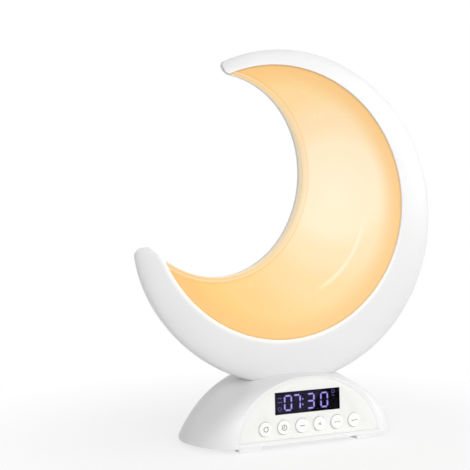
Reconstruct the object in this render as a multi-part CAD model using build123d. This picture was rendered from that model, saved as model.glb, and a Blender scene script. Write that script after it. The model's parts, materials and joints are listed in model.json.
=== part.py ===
from build123d import *
import math
import os

os.makedirs("parts", exist_ok=True)

# Sunrise alarm clock: a crescent moon lamp standing in the roof of an arched clock base.
# Millimetres. +Z up, the front faces -Y, the origin is the centre of the resting plane.

# ---------------------------------------------------------------- driving sizes, moon
MOON_X = -1.5
MOON_Y = -15.8
MOON_R = 100.0
MOON_SEAT = 32.7
MOON_Z = MOON_SEAT + MOON_R
FRONT_DEPTH = 18.0
REAR_DEPTH = 57.0
HOLLOW_DX = -48.4
HOLLOW_DZ = 23.3
HOLLOW_SMALLER = 41.6
HOLLOW_R = MOON_R - HOLLOW_SMALLER
# the lit opening is a circle that leaves a border: widest low on the right, narrow at the upper horn
BORDER_WIDE = 29.6
BORDER_NARROW = 5.0
BORDER_ANGLE = 135.66
RIM_R = MOON_R - (BORDER_WIDE + BORDER_NARROW) / 2
RIM_SHIFT = (BORDER_WIDE - BORDER_NARROW) / 2
RIM_DX = RIM_SHIFT * math.cos(math.radians(BORDER_ANGLE))
RIM_DZ = RIM_SHIFT * math.sin(math.radians(BORDER_ANGLE))
LIP_WIDTH = 1.9
LIP_DEPTH = 6.0
LIP_WALL = 3.4
DISH_DEPTH = 22.0
EDGE_DEPTH = 30.1
BACK_BULGE = 60.0
BACK_SOFTNESS = 2.2
HORN_ROUND = 4.8
HORN_FILL = 0.45
HORN_BLEND = 0.25
HORN_REACH = 0.8
MOON_WALL = 2.4
BACK_WALL = 2.2
PANEL_WALL = 2.2
SEAM = 0.1
FACE_QUADRATIC = 9.0
FACE_SEXTIC = 6.0
SURFACE_MARGIN = 8.0
SURFACE_REACH = MOON_R + SURFACE_MARGIN
SURFACE_STEPS = 27
TOOL_REACH = 2 * (FRONT_DEPTH + REAR_DEPTH)
FAR = 90.0

# ---------------------------------------------------------------- driving sizes, base
BASE_WALL = 2.4
BASE_BOTTOM = 2.6
LEAN = 2.5
FASCIA_Y = -38.0
DISPLAY_X = -1.5
DISPLAY_Z = 25.7
FASCIA_HALF = 46.2
FASCIA_TOP = 39.1
FASCIA_LOW = 5.2
FASCIA_WALL = 2.4
# sections of the base: distance along Y, half width on the floor, height of the arch, and the
# two powers of its outline: an ellipse has 2 and 2, the middle is squarer above and leans below
BASE_SECTIONS = [
    (-39.6, 46.4, 39.0, 2.0, 2.0),
    (-38.0, 50.2, 39.9, 2.0, 2.0),
    (-35.6, 54.2, 40.2, 2.05, 1.95),
    (-31.0, 59.2, 40.1, 2.2, 1.75),
    (-22.0, 64.8, 39.6, 2.45, 1.42),
    (-8.0, 68.3, 40.5, 2.8, 1.2),
    (8.0, 64.8, 40.6, 2.7, 1.2),
    (22.0, 58.4, 38.3, 2.2, 1.2),
    (31.0, 53.8, 36.8, 2.0, 1.2),
    (36.2, 50.0, 35.2, 2.0, 1.2),
    (38.5, 47.0, 33.8, 2.0, 1.2),
]
BASE_OUTLINE_STEPS = 24
BASE_FRONT = BASE_SECTIONS[0][0]
BASE_BACK = BASE_SECTIONS[-1][0]

# ---------------------------------------------------------------- driving sizes, details
WINDOW_W = 42.4
WINDOW_H = 12.5
WINDOW_T = 2.3
BUTTON_PITCH = 11.63
BUTTON_COUNT = 6
BUTTON_DROP = 13.6
BUTTON_R = 4.1
BUTTON_GAP = 0.2
BUTTON_PROUD = 0.9
BUTTON_TRAVEL = 0.8
STEM_R = 1.6
BOARD_T = 1.6
BOARD_FACE = 7.5
JACK_X = -20.0
JACK_Z = 16.6
JACK_BORE_R = 2.85
JACK_BORE_DEPTH = 9.5
JACK_PIN_R = 1.0
JACK_PIN_SUNK = 1.0
JACK_ROOT_R = 1.4
JACK_ROOT_L = 2.0
JACK_BODY_W = 9.4
JACK_BODY_L = 15.0
JACK_NOSE_L = 3.0
SPEAKER_X = 15.0
SPEAKER_Y = 4.0
SPEAKER_R = 14.0
RUNNER_IN = 31.0
RUNNER_OUT = 45.3

SCREW_SOCKET_R = 1.2
SCREW_SOCKET_H = 1.0
SCREW_CLEARANCE = 0.2
LED_BOARD_DEPTH = 3.6
LED_BOARD_INSET = 6.7
LED_BOARD_R = RIM_R - LED_BOARD_INSET
LED_BOARD_HOLLOW_GAP = 22.6
LED_BOARD_HOLLOW_R = HOLLOW_R + LED_BOARD_HOLLOW_GAP
LED_BOARD_TIP_R = 3.0
LED_SCREW_GAP = 40.6
LED_SCREW_RING = HOLLOW_R + LED_SCREW_GAP
LED_SCREW_ANGLES = (-66.0, -34.0, 0.0, 20.0)
LED_SCREW_R = 1.1
LED_SCREW_HEAD_R = 2.1
LED_SCREW_HEAD_H = 1.3
LED_SCREW_BITE = 5.0
LED_SCREW_TIP_GAP = 0.3
LED_POST_R = 3.2
LED_RING_GAPS = (29.6, 45.6)
LED_STEP_ANGLE = 7.5
LED_W = 3.5
LED_H = 2.8
LED_T = 0.8
LED_EDGE = 5.0
LED_CLEAR = 5.5
BASE_SKIRT = 6.0
BASE_POSTS = ((-49.0, 12.0), (49.0, 12.0), (-49.0, -16.0), (49.0, -16.0))
BASE_POST_R = 3.6
BASE_SCREW_R = 1.4
BASE_SCREW_HEAD_R = 2.6
BASE_SCREW_HEAD_H = 1.6
BASE_SCREW_BITE = 9.0
BASE_SCREW_TIP_GAP = 0.5
PLATE_TOP = 5.4
PLATE_T = 2.4
PAD_PROUD = 0.5
PAD_R = 5.0
PAD_T = 1.6
PAD_SPOTS = ((-38.5, -28.0), (38.5, -28.0), (-38.5, 26.0), (38.5, 26.0))
RUNNER_FRONT = -38.6
RUNNER_BACK_GAP = 3.5
RUNNER_CHAMFER = 1.0
RUNNER_STEP = BASE_WALL + 1.0
RUNNER_GAP = 0.05
SLOT_COUNT = 5
SLOT_PITCH = 4.4
SLOT_W = 2.0
SLOT_RING = 11.0
STAND_R = 3.0
MAIN_BOARD_Z = 9.0
MAIN_X0 = -42.0
MAIN_X1 = -3.0
MAIN_Y0 = -24.0
MAIN_Y1 = 30.0
MAIN_SCREW_X = (-38.5, -6.5)
MAIN_SCREW_Y = (-20.5, 22.0)
MAIN_SCREW_BITE = 5.0
CHIPS = (
    (-31.0, 4.0, 8.0, 8.0, 1.4),
    (-31.0, -10.0, 6.0, 5.0, 1.4),
    (-35.0, 16.0, 5.0, 5.0, 7.0),
    (-8.0, 14.0, 5.0, 6.0, 5.0),
)
CELL_X = -17.0
CELL_Y = 2.0
CELL_R = 8.0
CELL_T = 3.2
HOLDER_FLOOR = 0.8
HOLDER_WALL = 1.5
JACK_NOSE_R = 4.0
JACK_RECESS = 0.2
SPEAKER_FRAME_T = 6.0
SPEAKER_FRAME_WALL = 1.0
SPEAKER_RING_W = 2.0
SPEAKER_CONE_UP = 0.8
SPEAKER_CONE_H = 2.2
SPEAKER_MAGNET_R = 8.0
SPEAKER_MAGNET_H = 4.5
PLUG_RISE = 6.7
PLUG_W = 8.0
PLUG_D = 4.6
PLUG_H = 6.0
SOCKET_D = 6.0
PLUG_Z = MOON_Z + RIM_DZ - LED_BOARD_R + PLUG_RISE
LEAD_END_X = -12.0
LEAD_END_Y = -15.0
LEAD_END_Z = 16.0
BOARD_POSTS = ((-38.5, -15.0), (38.5, -15.0), (-27.8, 2.0), (27.8, 2.0))
BOARD_POST_R = 2.6
BOARD_SCREW_R = 1.1
BOARD_SCREW_HEAD_R = 2.1
BOARD_SCREW_HEAD_H = 1.4
FRONT_BOARD_OUTLINE = ((-42.0, -18.3), (42.0, -18.3), (42.0, -9.0), (30.6, 5.0), (-30.6, 5.0), (-42.0, -9.0))
DISPLAY_W = 44.4
DISPLAY_H = 14.6
SEGMENT_T = 0.15
SEGMENT_W = 1.15
SEGMENT_GAP = 0.25
DIGIT_W = 4.3
DIGIT_H = 8.2
DIGIT_DROP = 0.4
DIGITS = ((-11.8, "abcdef"), (-6.1, "abc"), (3.0, "abcdg"), (12.0, "abcdef"))
COLON_X = -2.2
COLON_R = 0.55
COLON_HEIGHTS = (-1.6, 1.6)
SIGN_BARS = ((-17.0, 2.6, 2.6, 0.6), (-17.0, 0.3, 2.6, 0.6), (18.0, 1.6, 1.8, 0.5))
SIGN_RINGS = ((-17.2, -3.6, 1.2), (18.0, 4.0, 1.2))
SIGN_LINE = 0.4
SWITCH_W = 6.0
SWITCH_H = 2.0
PLUNGER_R = 1.5
PLUNGER_FLOOR = 0.1
BUTTON_CAP = 2.5
BUTTON_STEM = 4.9
BUTTON_EDGE = 0.6
FLANGE_R = 5.0
FLANGE_T = 0.8


def save(shape, name):
    solids = shape.solids()
    if len(solids) == 1:
        export_step(solids[0], "parts/" + name + ".step")
    else:
        export_step(Compound(children=list(solids)), "parts/" + name + ".step")
    return shape


def facing(x, y, z):
    """Plane whose local x, y are X, Z and whose local z points to the front, -Y."""
    return Plane(origin=(x, y, z), x_dir=(1, 0, 0), z_dir=(0, -1, 0))


def disc(radius, x, z, y_front, y_back):
    """Cylinder along Y between two depths."""
    return extrude(facing(x, y_back, z) * Circle(radius), y_back - y_front)


def post(radius, x, y, z_low, z_high):
    """Upright cylinder."""
    return Pos(x, y, (z_low + z_high) / 2) * Cylinder(radius, z_high - z_low)


def block(x0, x1, y0, y1, z0, z1):
    """Box between two corners."""
    size = (x1 - x0, y1 - y0, z1 - z0)
    return Pos((x0 + x1) / 2, (y0 + y1) / 2, (z0 + z1) / 2) * Box(*size)


# ================================================================ moon: shaping surfaces
RIM_X = MOON_X + RIM_DX
RIM_Z = MOON_Z + RIM_DZ


def face_depth(x, z):
    """Depth of the domed front, from the moon's centre."""
    q = (x * x + z * z) / MOON_R**2
    return -FRONT_DEPTH + FACE_QUADRATIC * q + FACE_SEXTIC * q**3


def rim_share(x, z):
    return ((x - RIM_DX) ** 2 + (z - RIM_DZ) ** 2) / RIM_R**2


def dish_depth(x, z):
    """Depth of the dished light panel."""
    return face_depth(x, z) + DISH_DEPTH * (1 - rim_share(x, z))


def back_depth(x, z):
    """Depth of the back: thin at the hollow's edge, bulging outwards, filled out at the horns."""
    away = ((x - HOLLOW_DX) ** 2 + (z - HOLLOW_DZ) ** 2) / HOLLOW_R**2 - 1
    bulge = BACK_BULGE * away / (BACK_SOFTNESS + away)
    taper = 1 - rim_share(x, z)
    beyond_rim = (math.hypot(taper, HORN_BLEND) - taper) / 2
    fill = HORN_FILL * beyond_rim * math.exp(-((away / HORN_REACH) ** 2))
    return face_depth(x, z) + EDGE_DEPTH * (taper + fill) + bulge


def depth_tool(depth, offset, towards):
    """Solid on one side of a depth surface that is moved by offset along Y."""
    steps = range(SURFACE_STEPS + 1)
    span = [SURFACE_REACH * (2 * i / SURFACE_STEPS - 1) for i in steps]
    rows = []
    for x in span:
        rows.append([Vector(MOON_X + x, MOON_Y + depth(x, z) + offset, MOON_Z + z) for z in span])
    face = Face.make_surface_from_array_of_points(rows, tol=0.01, max_deg=5)
    return Solid.extrude(face, Vector(0, towards * TOOL_REACH, 0))


def ellipsoid(inset):
    """Lens shaped body about the Y axis, flatter in front than behind."""
    wide = MOON_R - inset
    front = FRONT_DEPTH - inset
    rear = REAR_DEPTH - inset
    outline = EllipticalCenterArc((0, 0), wide, front, start_angle=-90, arc_size=90)
    outline += EllipticalCenterArc((0, 0), wide, rear, start_angle=0, arc_size=90)
    outline += Line((0, rear), (0, -front))
    return Pos(MOON_X, MOON_Y, MOON_Z) * revolve(make_face(outline), Axis.Y, 360)


def moon_core(inset, back_inset):
    """Lens body closed behind by the back surface, with a rounded corner."""
    return ellipsoid(inset) - depth_tool(back_depth, -back_inset, 1)


def crescent(inset, round_r):
    """Prism of the crescent outline with rounded horns."""
    outline = Circle(MOON_R - inset) - Pos(HOLLOW_DX, HOLLOW_DZ) * Circle(HOLLOW_R + inset)
    if round_r > 0:
        outline = fillet(outline.vertices(), round_r)
    return extrude(facing(MOON_X, FAR, MOON_Z) * outline, 2 * FAR)


def rim_cylinder(radius):
    return disc(radius, RIM_X, RIM_Z, -FAR, FAR)


core_outer = moon_core(0.0, 0.0)
core_inner = moon_core(MOON_WALL, BACK_WALL)
core_lining = moon_core(MOON_WALL + SEAM, 0.0)
horned = crescent(0.0, HORN_ROUND)
dish_front = depth_tool(dish_depth, 0.0, -1)
dish_rear = depth_tool(dish_depth, PANEL_WALL, -1)

# ================================================================ moon: screws and posts
COVER_ANGLES = (-110.0, -75.0, -40.0, -5.0, 30.0)
COVER_RING_GAP = 5.5
COVER_RING = RIM_R + COVER_RING_GAP
COVER_CUP_R = 4.4
COVER_CUP_H = 4.8
COVER_POCKET_R = 3.1
COVER_POCKET_H = 2.8
COVER_HEAD_R = 2.8
COVER_HEAD_H = 1.9
COVER_SHANK_R = 1.45
COVER_SHANK_L = 10.0
COVER_HOLE_R = 1.6
BOSS_R = 3.6
THREAD_GAP = 0.05

cover_spots = []
for angle in COVER_ANGLES:
    dx = RIM_DX + COVER_RING * math.cos(math.radians(angle))
    dz = RIM_DZ + COVER_RING * math.sin(math.radians(angle))
    cover_spots.append((MOON_X + dx, MOON_Y + back_depth(dx, dz), MOON_Z + dz))

# ---------------------------------------------------------------- neck between moon and base
NECK_Y = -11.0
NECK_SCREW_X = 12.0
NECK_BOSS_R = 4.0
NECK_SHANK_R = 1.7
NECK_SHANK_L = 13.0
NECK_HEAD_R = 3.2
NECK_HEAD_H = 2.2
NECK_TIP_GAP = 0.3
NECK_BOSS_END = 2.5
NECK_HEAD_Z = MOON_SEAT - BASE_WALL - SEAM
NECK_HOLE_TOP = NECK_HEAD_Z + NECK_SHANK_L + NECK_TIP_GAP
NECK_BOSS_TOP = NECK_HOLE_TOP + NECK_BOSS_END
NECK_LOW = NECK_HEAD_Z - BASE_WALL
LEAD_HOLE_R = 3.6
LEAD_R = 1.5

# ================================================================ moon shell
flange = rim_cylinder(RIM_R + LIP_WALL - LIP_WIDTH) - rim_cylinder(RIM_R - LIP_WALL)
flange = flange - depth_tool(face_depth, LIP_DEPTH, 1)
shell_space = core_inner & crescent(MOON_WALL, HORN_ROUND - MOON_WALL)
shell_space = shell_space - flange
for x, y, z in cover_spots:
    shell_space -= disc(BOSS_R, x, z, -FAR, y - COVER_CUP_H - SEAM)
for side in (-1, 1):
    shell_space -= post(NECK_BOSS_R, MOON_X + side * NECK_SCREW_X, NECK_Y, NECK_LOW, NECK_BOSS_TOP)
cover_cut = depth_tool(back_depth, -BACK_WALL - SEAM, 1) & ellipsoid(MOON_WALL)
moon_shell = (core_outer & horned) - shell_space
moon_shell = moon_shell - rim_cylinder(RIM_R - LIP_WIDTH)
moon_shell = moon_shell - cover_cut
for x, y, z in cover_spots:
    hole_front = y - COVER_CUP_H - SEAM - COVER_SHANK_L
    moon_shell -= disc(COVER_SHANK_R + THREAD_GAP, x, z, hole_front, FAR)
for side in (-1, 1):
    moon_shell -= post(NECK_SHANK_R + THREAD_GAP, MOON_X + side * NECK_SCREW_X, NECK_Y, NECK_LOW, NECK_HOLE_TOP)
moon_shell -= post(LEAD_HOLE_R, MOON_X, NECK_Y, NECK_LOW, NECK_HOLE_TOP)
save(moon_shell, "moon_shell")

# ================================================================ light panel
panel_space = crescent(PANEL_WALL, 0.0) - dish_rear
light_panel = (core_outer & horned) & rim_cylinder(RIM_R - LIP_WIDTH - SEAM)
light_panel = light_panel - dish_front
light_panel = light_panel - panel_space
light_panel = light_panel - depth_tool(back_depth, -BACK_WALL - SEAM, 1)
save(light_panel, "light_panel")

# ================================================================ back cover
cover_space = depth_tool(back_depth, -BACK_WALL, -1)
for x, y, z in cover_spots:
    cover_space -= disc(COVER_CUP_R, x, z, y - COVER_CUP_H, FAR)

# ================================================================ moon: back cover screws
screws = []
for x, y, z in cover_spots:
    head_front = y - COVER_POCKET_H
    screw = disc(COVER_HEAD_R, x, z, head_front, head_front + COVER_HEAD_H)
    screw += disc(COVER_SHANK_R, x, z, head_front - COVER_SHANK_L, head_front)
    screw -= disc(SCREW_SOCKET_R, x, z, head_front + COVER_HEAD_H - SCREW_SOCKET_H, FAR)
    screws.append(screw)
save(Compound(children=screws), "moon_back_screws")

# ================================================================ moon: light board
board_face_y = MOON_Y + LED_BOARD_DEPTH
board_back_y = board_face_y + BOARD_T
board_outline = Pos(RIM_DX, RIM_DZ) * Circle(LED_BOARD_R) - Pos(HOLLOW_DX, HOLLOW_DZ) * Circle(LED_BOARD_HOLLOW_R)
board_outline = fillet(board_outline.vertices(), LED_BOARD_TIP_R)
led_board = extrude(facing(MOON_X, board_back_y, MOON_Z) * board_outline, BOARD_T)

led_screw_spots = []
for angle in LED_SCREW_ANGLES:
    dx = HOLLOW_DX + LED_SCREW_RING * math.cos(math.radians(angle))
    dz = HOLLOW_DZ + LED_SCREW_RING * math.sin(math.radians(angle))
    led_screw_spots.append((MOON_X + dx, MOON_Y + back_depth(dx, dz), MOON_Z + dz))
for x, y, z in led_screw_spots:
    led_board -= disc(LED_SCREW_R + SCREW_CLEARANCE, x, z, -FAR, FAR)
save(led_board, "led_board")

chips = []
for gap in LED_RING_GAPS:
    for i in range(int(360 / LED_STEP_ANGLE)):
        angle = math.radians(i * LED_STEP_ANGLE)
        dx = HOLLOW_DX + (HOLLOW_R + gap) * math.cos(angle)
        dz = HOLLOW_DZ + (HOLLOW_R + gap) * math.sin(angle)
        inside = math.hypot(dx - RIM_DX, dz - RIM_DZ) < LED_BOARD_R - LED_EDGE
        clear = all(math.hypot(MOON_X + dx - x, MOON_Z + dz - z) > LED_CLEAR for x, y, z in led_screw_spots)
        if inside and clear:
            chip = block(-LED_W / 2, LED_W / 2, 0, LED_T, -LED_H / 2, LED_H / 2)
            chips.append(Pos(MOON_X + dx, board_face_y - LED_T, MOON_Z + dz) * chip)
save(Compound(children=chips), "led_chips")

# standoffs reach from the back cover to the light board, each with a blind screw hole
for x, y, z in led_screw_spots:
    cover_space -= disc(LED_POST_R, x, z, board_back_y, FAR)
moon_back = (core_lining & horned) - cover_space
for x, y, z in cover_spots:
    moon_back -= disc(COVER_POCKET_R, x, z, y - COVER_POCKET_H, FAR)
    moon_back -= disc(COVER_HOLE_R, x, z, -FAR, FAR)
led_screws = []
for x, y, z in led_screw_spots:
    hole_back = board_back_y + LED_SCREW_BITE + LED_SCREW_TIP_GAP
    moon_back -= disc(LED_SCREW_R + THREAD_GAP, x, z, board_face_y, hole_back)
    screw = disc(LED_SCREW_R, x, z, board_face_y, board_back_y + LED_SCREW_BITE)
    screw += disc(LED_SCREW_HEAD_R, x, z, board_face_y - LED_SCREW_HEAD_H, board_face_y)
    led_screws.append(screw)
save(moon_back, "moon_back")
save(Compound(children=led_screws), "led_board_screws")

# ================================================================ base: shaping bodies
def base_section(y, half, top, wide_power, high_power):
    """Arch (x/half)**wide_power + (z/top)**high_power = 1 above the floor, closed by lines below it."""
    points = []
    for i in range(BASE_OUTLINE_STEPS + 1):
        turn = math.pi * i / BASE_OUTLINE_STEPS
        across = abs(math.cos(turn)) ** (2 / wide_power)
        up = abs(math.sin(turn)) ** (2 / high_power)
        points.append((math.copysign(half * across, math.cos(turn)), top * up))
    points[0] = (half, 0)
    points[-1] = (-half, 0)
    outline = Spline(*points)
    outline += Polyline((-half, 0), (-half, -BASE_SKIRT), (half, -BASE_SKIRT), (half, 0))
    return facing(0, y, 0) * make_face(outline)


def base_body(inset):
    """Arch swept from front to back, swollen in plan, moved inwards by inset."""
    low = BASE_FRONT + inset
    high = BASE_BACK - inset
    span = BASE_BACK - BASE_FRONT
    sections = []
    for y, half, top, wide_power, high_power in BASE_SECTIONS:
        moved = low + (y - BASE_FRONT) / span * (high - low)
        sections.append(base_section(moved, half - inset, top - inset, wide_power, high_power))
    body = loft(sections)
    return body & block(-FAR, FAR, -FAR, FAR, -BASE_SKIRT / 2, FAR)


FASCIA = Plane(
    origin=(0, FASCIA_Y, DISPLAY_Z),
    x_dir=(1, 0, 0),
    z_dir=(0, -math.cos(math.radians(LEAN)), math.sin(math.radians(LEAN))),
)


def slab(x0, x1, y0, y1, z0, z1):
    """Box in the leaning frame of the fascia: x across, y up, z out to the front."""
    return FASCIA * block(x0, x1, y0, y1, z0, z1)


def peg(radius, x, y, z0, z1):
    """Cylinder square to the fascia."""
    return FASCIA * post(radius, x, y, z0, z1)


def arch_prism(half, top, low, z0, z1):
    """Arched plate in the fascia's frame, cut off at a height above the floor."""
    arch = Pos(0, -DISPLAY_Z) * Ellipse(half, top)
    arch = arch & Pos(0, low - DISPLAY_Z + top) * Rectangle(4 * half, 2 * top)
    return FASCIA * (Pos(0, 0, z0) * extrude(arch, z1 - z0))


front_cut = slab(-FAR * 2, FAR * 2, -FAR * 2, FAR * 2, 0, FAR)
base_outer = base_body(0.0) - front_cut
base_inner = base_body(BASE_WALL) - slab(-FAR * 2, FAR * 2, -FAR * 2, FAR * 2, -BASE_WALL, FAR)
button_y = -BUTTON_DROP
button_x = [BUTTON_PITCH * (i - (BUTTON_COUNT - 1) / 2) for i in range(BUTTON_COUNT)]

# ================================================================ base shell
saddle_roof = moon_core(-BASE_WALL - SEAM, -BASE_WALL - SEAM)
saddle = moon_core(-SEAM, -SEAM)
base_space = base_inner - saddle_roof
for x, y in BASE_POSTS:
    base_space -= post(BASE_POST_R, x, y, PLATE_TOP, FAR)
base_shell = base_outer - base_space
base_shell = base_shell - saddle
base_shell = base_shell - block(-2 * FAR, 2 * FAR, -2 * FAR, 2 * FAR, -2 * FAR, BASE_BOTTOM)
base_shell = base_shell - arch_prism(FASCIA_HALF + SEAM, FASCIA_TOP + SEAM, FASCIA_LOW - SEAM, -2 * BASE_WALL, FAR)
base_shell = base_shell - disc(JACK_NOSE_R + SEAM, JACK_X, JACK_Z, BASE_BACK - 3 * BASE_WALL, FAR)
for x, y in BASE_POSTS:
    base_shell -= post(BASE_SCREW_R + THREAD_GAP, x, y, 0, PLATE_TOP + BASE_SCREW_BITE + BASE_SCREW_TIP_GAP)
for side in (-1, 1):
    base_shell -= post(NECK_SHANK_R + SCREW_CLEARANCE, MOON_X + side * NECK_SCREW_X, NECK_Y, NECK_LOW, FAR)
base_shell -= post(LEAD_HOLE_R, MOON_X, NECK_Y, NECK_LOW, FAR)
save(base_shell, "base_shell")

# ================================================================ neck screws
neck_screws = []
for side in (-1, 1):
    x = MOON_X + side * NECK_SCREW_X
    screw = post(NECK_HEAD_R, x, NECK_Y, NECK_HEAD_Z - NECK_HEAD_H, NECK_HEAD_Z)
    screw += post(NECK_SHANK_R, x, NECK_Y, NECK_HEAD_Z, NECK_HEAD_Z + NECK_SHANK_L)
    neck_screws.append(screw)
save(Compound(children=neck_screws), "neck_screws")

# ================================================================ fascia
fascia = arch_prism(FASCIA_HALF, FASCIA_TOP, FASCIA_LOW, -FASCIA_WALL, 0)
for x, y in BOARD_POSTS:
    fascia += peg(BOARD_POST_R, x, y, -BOARD_FACE, -FASCIA_WALL)
win_x0 = DISPLAY_X - WINDOW_W / 2
win_x1 = DISPLAY_X + WINDOW_W / 2
win_y = WINDOW_H / 2
fascia -= slab(win_x0 - SEAM, win_x1 + SEAM, -win_y - SEAM, win_y + SEAM, -FAR, FAR)
for x in button_x:
    fascia -= peg(BUTTON_R + BUTTON_GAP, x, button_y, -FAR, FAR)
for x, y in BOARD_POSTS:
    fascia -= peg(BOARD_SCREW_R + THREAD_GAP, x, y, -BOARD_FACE, -FASCIA_WALL)
save(fascia, "front_fascia")
save(slab(win_x0, win_x1, -win_y, win_y, -WINDOW_T, 0), "display_window")

# ================================================================ display
seg_z0 = -WINDOW_T - SEAM - SEGMENT_T
seg_z1 = -WINDOW_T - SEAM


def stroke(x0, y0, x1, y1):
    """Flat lit bar with pointed ends between two points of the display."""
    length = math.hypot(x1 - x0, y1 - y0) - SEGMENT_GAP
    turn = math.degrees(math.atan2(y1 - y0, x1 - x0))
    half_l = length / 2
    half_w = SEGMENT_W / 2
    outline = Polygon(
        (-half_l, 0),
        (-half_l + half_w, half_w),
        (half_l - half_w, half_w),
        (half_l, 0),
        (half_l - half_w, -half_w),
        (-half_l + half_w, -half_w),
        align=None,
    )
    placed = Pos((x0 + x1) / 2, (y0 + y1) / 2, seg_z0) * Rot(0, 0, turn) * outline
    return FASCIA * extrude(placed, SEGMENT_T, dir=(0, 0, 1))


def digit(centre, lit):
    """Seven segment figure: a top, b and c right, d bottom, e and f left, g middle."""
    left = centre - DIGIT_W / 2
    right = centre + DIGIT_W / 2
    mid = -DIGIT_DROP
    high = mid + DIGIT_H / 2
    low = mid - DIGIT_H / 2
    places = {
        "a": (left, high, right, high),
        "b": (right, mid, right, high),
        "c": (right, low, right, mid),
        "d": (left, low, right, low),
        "e": (left, low, left, mid),
        "f": (left, mid, left, high),
        "g": (left, mid, right, mid),
    }
    return [stroke(*places[name]) for name in lit]


digits = []
for centre, lit in DIGITS:
    digits += digit(DISPLAY_X + centre, lit)
for height in COLON_HEIGHTS:
    digits.append(peg(COLON_R, DISPLAY_X + COLON_X, height - DIGIT_DROP, seg_z0, seg_z1))
save(Compound(children=digits), "display_digits")

signs = []
for x, y, w, h in SIGN_BARS:
    signs.append(slab(DISPLAY_X + x - w / 2, DISPLAY_X + x + w / 2, y - h / 2, y + h / 2, seg_z0, seg_z1))
for x, y, r in SIGN_RINGS:
    ring = peg(r, DISPLAY_X + x, y, seg_z0, seg_z1) - peg(r - SIGN_LINE, DISPLAY_X + x, y, -FAR, FAR)
    signs.append(ring)
save(Compound(children=signs), "display_signs")

block_front = seg_z0
display_block = slab(
    DISPLAY_X - DISPLAY_W / 2, DISPLAY_X + DISPLAY_W / 2, -DISPLAY_H / 2, DISPLAY_H / 2, -BOARD_FACE, block_front
)
save(display_block, "display_block")

# ================================================================ front board and switches
board_rear = -BOARD_FACE - BOARD_T
outline = Polygon(*FRONT_BOARD_OUTLINE, align=None)
front_board = FASCIA * (Pos(0, 0, board_rear) * extrude(outline, BOARD_T))
for x, y in BOARD_POSTS:
    front_board -= peg(BOARD_SCREW_R + SCREW_CLEARANCE, x, y, -FAR, FAR)
save(front_board, "front_board")
board_screws = []
for x, y in BOARD_POSTS:
    screw = peg(BOARD_SCREW_R, x, y, board_rear, -FASCIA_WALL - SCREW_CLEARANCE)
    screw += peg(BOARD_SCREW_HEAD_R, x, y, board_rear - BOARD_SCREW_HEAD_H, board_rear)
    board_screws.append(screw)
save(Compound(children=board_screws), "front_board_screws")

switches = []
switch_top = -BOARD_FACE + SWITCH_H
for x in button_x:
    half = SWITCH_W / 2
    housing = slab(x - half, x + half, button_y - half, button_y + half, -BOARD_FACE, switch_top)
    housing -= peg(PLUNGER_R + BUTTON_GAP, x, button_y, -FAR, FAR)
    switches.append(housing)
save(Compound(children=switches), "switch_housings")

for i, x in enumerate(button_x):
    cap = peg(BUTTON_R, x, button_y, -BUTTON_CAP, BUTTON_PROUD)
    cap = fillet(cap.edges().filter_by(GeomType.CIRCLE).sort_by(Axis.Y)[:1], BUTTON_EDGE)
    cap += peg(FLANGE_R, x, button_y, -BUTTON_CAP - FLANGE_T, -BUTTON_CAP)
    cap += peg(STEM_R, x, button_y, -BUTTON_STEM, -BUTTON_CAP)
    save(cap, "button_" + str(i + 1))
    plunger = peg(PLUNGER_R, x, button_y, -BOARD_FACE + BUTTON_TRAVEL + PLUNGER_FLOOR, -BUTTON_STEM)
    save(plunger, "switch_plunger_" + str(i + 1))

# ================================================================ bottom plate
plate_low = PLATE_TOP - PLATE_T
bottom_plate = base_body(BASE_WALL + SEAM) & block(-FAR, FAR, -FAR, FAR, plate_low, PLATE_TOP)
bottom_plate = bottom_plate - slab(-FAR, FAR, -FAR, FAR, -BASE_WALL - SEAM, FAR)
runner_back = BASE_BACK - RUNNER_BACK_GAP
for side in (-1, 1):
    x0 = min(side * RUNNER_IN, side * RUNNER_OUT)
    x1 = max(side * RUNNER_IN, side * RUNNER_OUT)
    inner = block(x0, x1, RUNNER_FRONT + RUNNER_STEP, runner_back - RUNNER_STEP, PAD_PROUD, PLATE_TOP)
    tread = block(x0, x1, RUNNER_FRONT, runner_back, PAD_PROUD, BASE_BOTTOM - RUNNER_GAP)
    tread = chamfer(tread.edges().filter_by(Axis.Y).group_by(Axis.Z)[0], RUNNER_CHAMFER)
    bottom_plate += inner
    bottom_plate += tread
for x, y in PAD_SPOTS:
    bottom_plate -= post(PAD_R + SEAM, x, y, 0, PAD_T)
for x, y in BASE_POSTS:
    bottom_plate -= post(BASE_SCREW_R + SCREW_CLEARANCE, x, y, 0, FAR)
for i in range(SLOT_COUNT):
    x = SPEAKER_X + (i - (SLOT_COUNT - 1) / 2) * SLOT_PITCH
    half = math.sqrt(SLOT_RING**2 - (x - SPEAKER_X) ** 2)
    bottom_plate -= block(x - SLOT_W / 2, x + SLOT_W / 2, SPEAKER_Y - half, SPEAKER_Y + half, 0, FAR)
stand_spots = [(x, y) for x in MAIN_SCREW_X for y in MAIN_SCREW_Y]
for x, y in stand_spots:
    bottom_plate += post(STAND_R, x, y, PLATE_TOP, MAIN_BOARD_Z)
for x, y in stand_spots:
    bottom_plate -= post(BOARD_SCREW_R + THREAD_GAP, x, y, MAIN_BOARD_Z - MAIN_SCREW_BITE - SCREW_CLEARANCE, FAR)
save(bottom_plate, "bottom_plate")

pads = [post(PAD_R, x, y, 0, PAD_T) for x, y in PAD_SPOTS]
save(Compound(children=pads), "foot_pads")
base_screws = []
for x, y in BASE_POSTS:
    screw = post(BASE_SCREW_R, x, y, plate_low, PLATE_TOP + BASE_SCREW_BITE)
    screw += post(BASE_SCREW_HEAD_R, x, y, plate_low - BASE_SCREW_HEAD_H, plate_low)
    base_screws.append(screw)
save(Compound(children=base_screws), "base_screws")

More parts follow.
